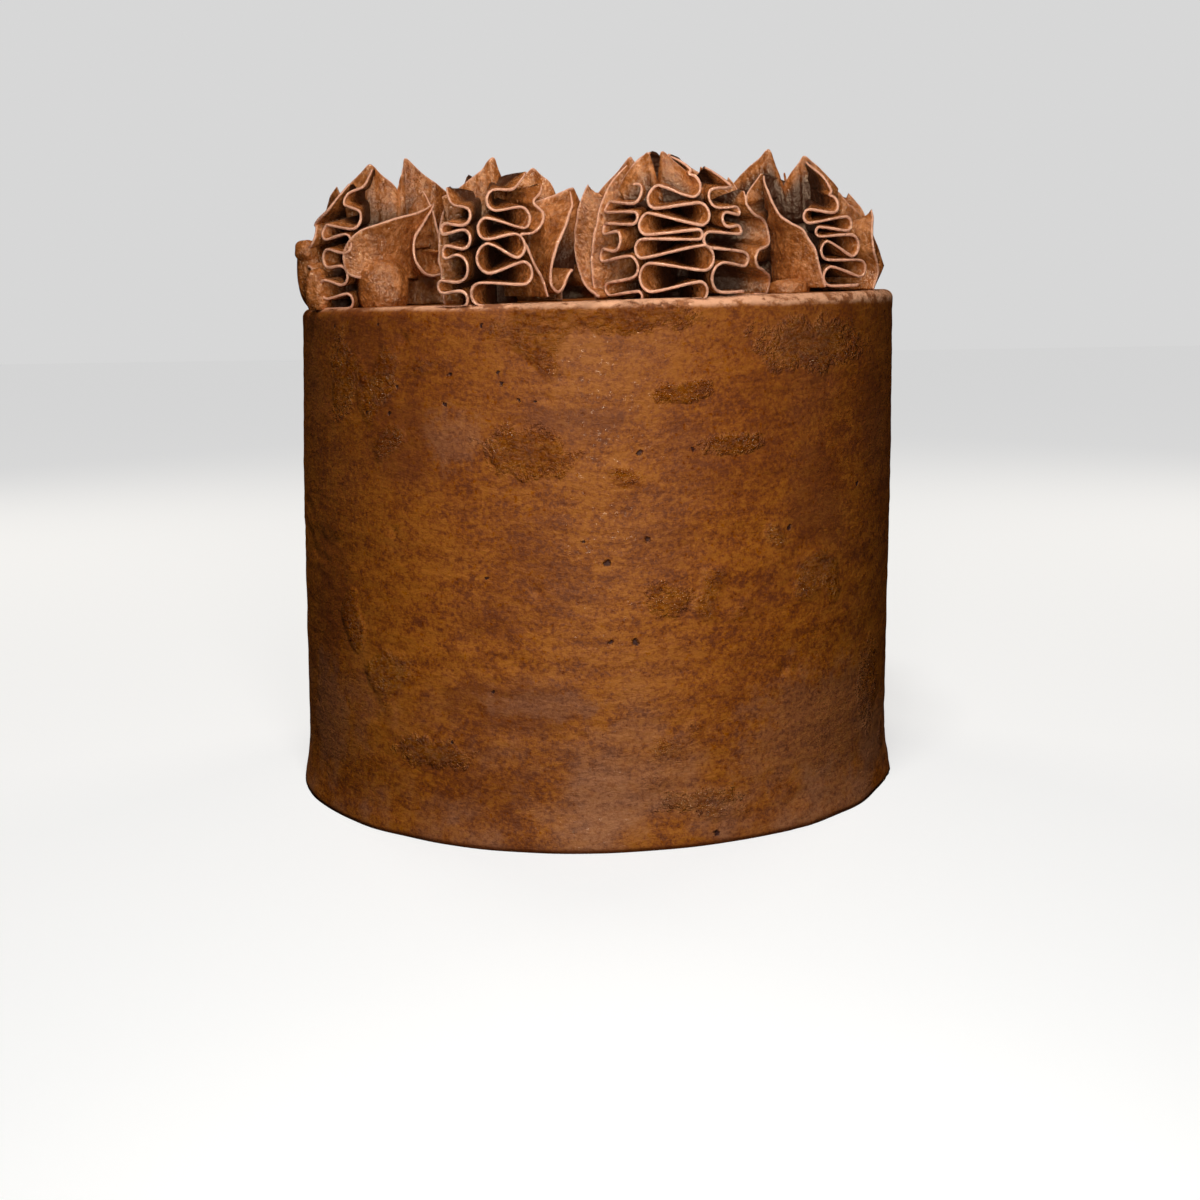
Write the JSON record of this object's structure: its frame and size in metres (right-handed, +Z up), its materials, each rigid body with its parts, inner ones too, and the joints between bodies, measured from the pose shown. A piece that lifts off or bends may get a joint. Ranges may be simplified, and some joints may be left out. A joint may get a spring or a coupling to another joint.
{
  "type": "layer cake",
  "caption": "Tall round layer cake in smooth chocolate frosting, with a ring of ruffled star-piped swirls round the edge of its top.",
  "frame": {"origin": "middle of the cake's base, on the surface that it stands on", "axes": "+Z up along the cake's axis; -Y is the side that the picture shows; +X is the picture's right"},
  "size_m": [0.1652, 0.1652, 0.1669],
  "materials": {
    "smooth_icing": "chocolate frosting spread smooth, satin, with a faint greasy sheen",
    "piped_icing": "chocolate frosting, piped, satin with fine glints"
  },
  "bodies": {
    "root": {"cake": "smooth_icing", "swirl_1": "piped_icing", "swirl_2": "piped_icing", "swirl_3": "piped_icing", "swirl_4": "piped_icing", "swirl_5": "piped_icing", "swirl_6": "piped_icing", "swirl_7": "piped_icing", "swirl_8": "piped_icing"}
  },
  "joints": []
}
